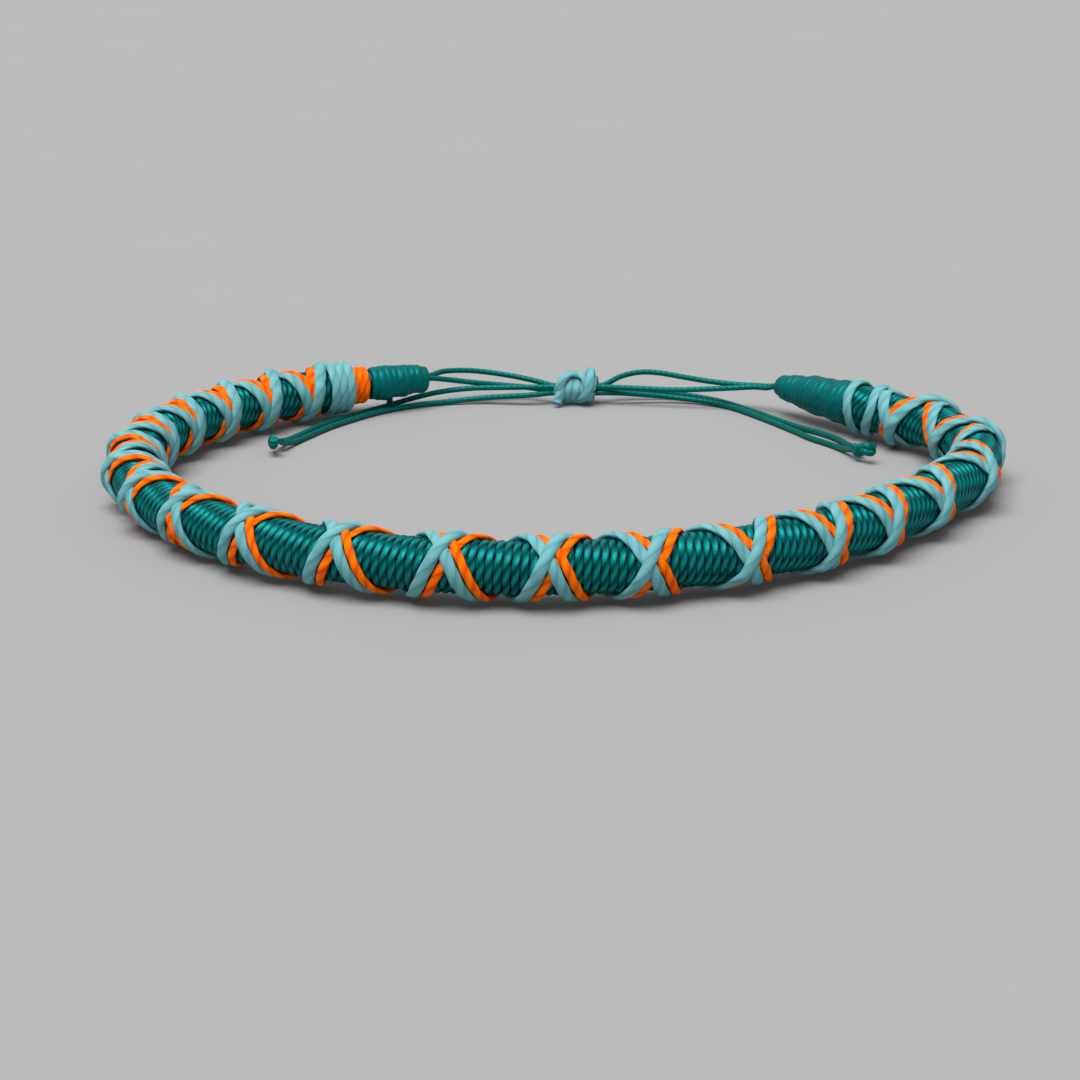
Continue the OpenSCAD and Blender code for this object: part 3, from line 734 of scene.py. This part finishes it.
class BRACELET_OT_studio(bpy.types.Operator):
    """Set up the camera, the floor and the lights"""

    bl_idname = "bracelet.studio"
    bl_label = "Studio"

    def execute(self, context):
        settings = context.scene.bracelet_studio
        camera = bpy.data.cameras.new("Camera")
        camera.lens = 68.06
        camera.sensor_width = 36.0
        camera.clip_start = 0.01
        viewer = bpy.data.objects.new("Camera", camera)
        context.scene.collection.objects.link(viewer)
        viewer.location = (-0.0013, -0.1678, 0.05174)
        viewer.rotation_euler = (math.pi / 2 - 0.322, 0.0, 0.0)
        context.scene.camera = viewer
        mesh = bpy.data.meshes.new("Floor")
        half = 2.5
        mesh.from_pydata([(-half, -half, 0), (half, -half, 0), (half, half, 0), (-half, half, 0)],
                         [], [(0, 1, 2, 3)])
        mesh.materials.append(floor_material(tuple(settings.floor)))
        floor = bpy.data.objects.new("Floor", mesh)
        context.scene.collection.objects.link(floor)
        light = bpy.data.lights.new("Key", "SUN")
        light.energy = settings.key
        light.angle = settings.softness
        lamp = bpy.data.objects.new("Key", light)
        lamp.rotation_euler = (math.radians(14), math.radians(-10), 0.0)
        context.scene.collection.objects.link(lamp)
        world = bpy.data.worlds.new("Room")
        world.use_nodes = True
        world.node_tree.nodes.clear()
        board = Board(world.node_tree)
        sky = board.add("ShaderNodeBackground", {},
                        {"Color": (1.0, 1.0, 1.0, 1.0), "Strength": settings.room})
        board.add("ShaderNodeOutputWorld", {}, {"Surface": sky})
        context.scene.world = world
        context.scene.view_settings.view_transform = "Standard"
        return {"FINISHED"}


class BRACELET_OT_cords(bpy.types.Operator):
    """Lay the four closure cords, with the knots on their tails and the knot they slide through"""

    bl_idname = "bracelet.cords"
    bl_label = "Closure Cords"

    def execute(self, context):
        settings = context.scene.bracelet_closure
        diameter = settings.cord_diameter / MM
        yarn = {**CORD, "width": diameter, "thickness": diameter}
        teal = tuple(settings.cord)
        # The dark end of the cord colour: painted shade in the ply valleys and on the sides, and the
        # dark end of the random fibre tone
        dark = tuple(0.25 * c for c in teal)
        finish = yarn_material("Teal cord", teal, dark, yarn, CORD_LOOK)
        ends = []
        for name, knot in (("left_tail_knot", LEFT_TAIL_KNOT), ("right_tail_knot", RIGHT_TAIL_KNOT)):
            ends.append(laid_piece("Tail knot " + name.split("_")[0], tail_knot_strands(*knot), yarn,
                                   finish, [name]))
        slider = sliding_knot(context)
        left = -LEFT_BINDING_LENGTH - 0.04
        right = BAND_LENGTH + RIGHT_BINDING_LENGTH + 0.04
        for name, way, extras in (
                ("left_cord_a", (left, 1, LEFT_CORD_A_IN, 45, LEFT_CORD_A_OUT, LEFT_TAIL_KNOT),
                 [ends[0], slider]),
                ("left_cord_b", (left, -1, LEFT_CORD_B_IN, -45, LEFT_CORD_B_OUT, LEFT_TAIL_KNOT), []),
                ("right_cord_a", (right, -1, RIGHT_CORD_A_IN, 135, RIGHT_CORD_A_OUT, RIGHT_TAIL_KNOT),
                 [ends[1]]),
                ("right_cord_b", (right, 1, RIGHT_CORD_B_IN, 225, RIGHT_CORD_B_OUT, RIGHT_TAIL_KNOT),
                 [])):
            route = cord_route(*way)
            laid = round_cord(route, diameter, CORD_STEP)
            piece = laid_piece(name.replace("_", " ").capitalize(), [laid], yarn, finish,
                               [name])
            path = smooth_path(route, CORD_STEP)
        return {"FINISHED"}


def aqua_material(settings):
    aqua = tuple(settings.aqua)
    # The dark end of the aqua: painted shade in the ply valleys and on the strands' sides, and the
    # dark end of the random fibre tone
    dark = (0.3 * aqua[0], 0.55 * aqua[1], 0.58 * aqua[2])
    return yarn_material("Aqua thread", aqua, dark, AQUA, AQUA_LOOK)


def orange_material(settings):
    orange = tuple(settings.orange)
    # The dark end of the orange: painted shade in the ply valleys and on the strands' sides, and the
    # dark end of the random fibre tone
    dark = (0.75 * orange[0], 0.12 * orange[1], 0.0)
    return yarn_material("Orange thread", orange, dark, ORANGE, ORANGE_LOOK)


def sliding_knot(context):
    """The aqua knot that the four cords run through."""
    first = ((-2.0, -34, 1.9), (-1.9, -27, 1.55), (-1.65, -5, 1.25), (-1.55, 40, 1.1))
    close = [(-1.45 + 0.75 * turn, 100 + 360 * turn, 1.08) for turn in np.arange(0, 4.1, 0.25)]
    last = ((1.7, 1580, 1.05), (1.75, 1620, 0.95))
    bridge = ((-2.0, -10, 0.95), (-1.8, 20, 1.3), (-1.45, 50, 1.58), (-0.8, 74, 1.68),
              (0.0, 80, 1.6), (0.7, 60, 1.56), (1.0, 25, 1.5), (1.1, -15, 1.4), (1.1, -50, 1.1))
    lump = ((0.2, -60, 1.2), (0.7, -20, 1.45), (1.15, 20, 1.6), (1.3, 55, 1.8), (1.3, 90, 1.98),
            (1.4, 125, 1.7), (1.5, 160, 1.2))
    strands = [knot_strand((*first, *close, *last), 1.0, 0.72, AQUA),
               knot_strand(bridge, 0.9, 0.6, AQUA), knot_strand(lump, 0.9, 0.55, AQUA)]
    yarn = {**AQUA, "groove": 0.12}
    finish = aqua_material(context.scene.bracelet_wraps)
    return laid_piece("Sliding knot", strands, yarn, finish, ["sliding_knot"])


class BRACELET_OT_winding(bpy.types.Operator):
    """Wind the teal thread round the band"""

    bl_idname = "bracelet.winding"
    bl_label = "Thread Winding"

    def execute(self, context):
        settings = context.scene.bracelet_band
        teal = tuple(settings.teal)
        # The dark end of the thread colour: painted shade in the ply valleys and between the turns,
        # and the dark end of the random fibre tone
        dark = (0.0, 0.06 * teal[1], 0.12 * teal[2])
        finish = yarn_material("Teal thread", teal, dark, THREAD, THREAD_LOOK)
        laid_piece("Wound band", winding_strands(settings.pitch / MM, THREAD["thickness"]), THREAD,
                   finish, ["wound_band"])
        return {"FINISHED"}


class BRACELET_OT_wraps(bpy.types.Operator):
    """Wrap the two aqua and two orange strands criss-cross round the band"""

    bl_idname = "bracelet.wraps"
    bl_label = "Wraps"

    def execute(self, context):
        settings = context.scene.bracelet_wraps
        aqua = aqua_material(settings)
        orange = orange_material(settings)
        for name, kind, last, yarn, finish, slot, node in (
                ("Rising aqua wrap", "aqua_rise", 22.05, AQUA, aqua, "aqua_thread",
                 "pale_rise_wrap"),
                ("Falling aqua wrap", "aqua_fall", 22.05, AQUA, aqua, "aqua_thread",
                 "pale_fall_wrap"),
                ("Rising orange wrap", "orange_rise", 21.75, ORANGE, orange, "orange_thread",
                 "orange_rise_wrap"),
                ("Falling orange wrap", "orange_fall", 21.25, ORANGE, orange, "orange_thread",
                 "orange_fall_wrap")):
            path = wrap_strand(kind, AQUA, ORANGE, 0.95, last)
            laid_piece(name, [path], yarn, finish, [node])
        return {"FINISHED"}


class BRACELET_OT_end_bands(bpy.types.Operator):
    """Wind the close turns near the two ends"""

    bl_idname = "bracelet.end_bands"
    bl_label = "End Bands"

    def execute(self, context):
        settings = context.scene.bracelet_wraps
        aqua = aqua_material(settings)
        orange = orange_material(settings)
        laid_piece("Left orange band", [end_band_strand(1.02, 3, 0.58, 1.36, math.radians(300))],
                   {**ORANGE, "width": 0.64, "thickness": 0.46}, orange,
                   ["left_orange_band"])
        laid_piece("Left aqua band", [end_band_strand(3.35, 3, 0.86, 2.0, math.radians(-20))],
                   AQUA, aqua, ["left_pale_band"])
        laid_piece("Right aqua band", [spread_strand(RIGHT_BAND, 2.02)],
                   AQUA, aqua, ["right_pale_band"])
        return {"FINISHED"}


class BRACELET_OT_bindings(bpy.types.Operator):
    """Bind the two ends with thick turns of dark teal cord"""

    bl_idname = "bracelet.bindings"
    bl_label = "Bindings"

    def execute(self, context):
        settings = context.scene.bracelet_closure
        teal = tuple(settings.binding)
        # The dark end of the binding colour: painted shade in the ply valleys and between the turns,
        # and the dark end of the random fibre tone
        dark = tuple(0.2 * c for c in teal)
        finish = yarn_material("Dark teal cord", teal, dark, BINDING, BINDING_LOOK)
        left = binding_strands(0.0, -1, LEFT_PROFILE, 0.04, 0.0)
        hanging, _ = centreline([-2.4, -2.45, -2.5, -2.5])
        hanging[:, 2] -= (1.1, 1.5, 1.8, 2.15)
        left.append(round_cord(hanging, 0.7 * BINDING["width"], 0.1, 1.1))
        laid_piece("Left binding", left, BINDING, finish, ["left_binding"])
        right = binding_strands(BAND_LENGTH, 1, RIGHT_PROFILE, 0.05, 0.0)
        laid_piece("Right binding", right, BINDING, finish, ["right_binding"])
        return {"FINISHED"}


class BRACELET_PT_panel(bpy.types.Panel):
    """Sizes, colours and steps of the bracelet"""

    bl_idname = "BRACELET_PT_panel"
    bl_label = "Bracelet"
    bl_space_type = "VIEW_3D"
    bl_region_type = "UI"
    bl_category = "Bracelet"

    def draw(self, context):
        for group in ("bracelet_band", "bracelet_wraps", "bracelet_closure", "bracelet_studio"):
            settings = getattr(context.scene, group)
            box = self.layout.box()
            for name in settings.__annotations__:
                box.prop(settings, name)
        for step in STEPS:
            self.layout.operator(step.bl_idname)


SETTINGS = (("bracelet_band", BandSettings), ("bracelet_wraps", WrapSettings),
            ("bracelet_closure", ClosureSettings), ("bracelet_studio", StudioSettings))
STEPS = (BRACELET_OT_studio, BRACELET_OT_cords, BRACELET_OT_winding, BRACELET_OT_wraps,
         BRACELET_OT_end_bands, BRACELET_OT_bindings)


def register():
    for name, group in SETTINGS:
        bpy.utils.register_class(group)
        setattr(bpy.types.Scene, name, bpy.props.PointerProperty(type=group))
    for step in STEPS:
        bpy.utils.register_class(step)
    bpy.utils.register_class(BRACELET_PT_panel)


def unregister():
    bpy.utils.unregister_class(BRACELET_PT_panel)
    for step in reversed(STEPS):
        bpy.utils.unregister_class(step)
    for name, group in reversed(SETTINGS):
        delattr(bpy.types.Scene, name)
        bpy.utils.unregister_class(group)


def main():
    register()
    bpy.ops.bracelet.studio()
    bpy.ops.bracelet.cords()
    bpy.ops.bracelet.winding()
    bpy.ops.bracelet.wraps()
    bpy.ops.bracelet.end_bands()
    bpy.ops.bracelet.bindings()


if __name__ == "__main__":
    main()
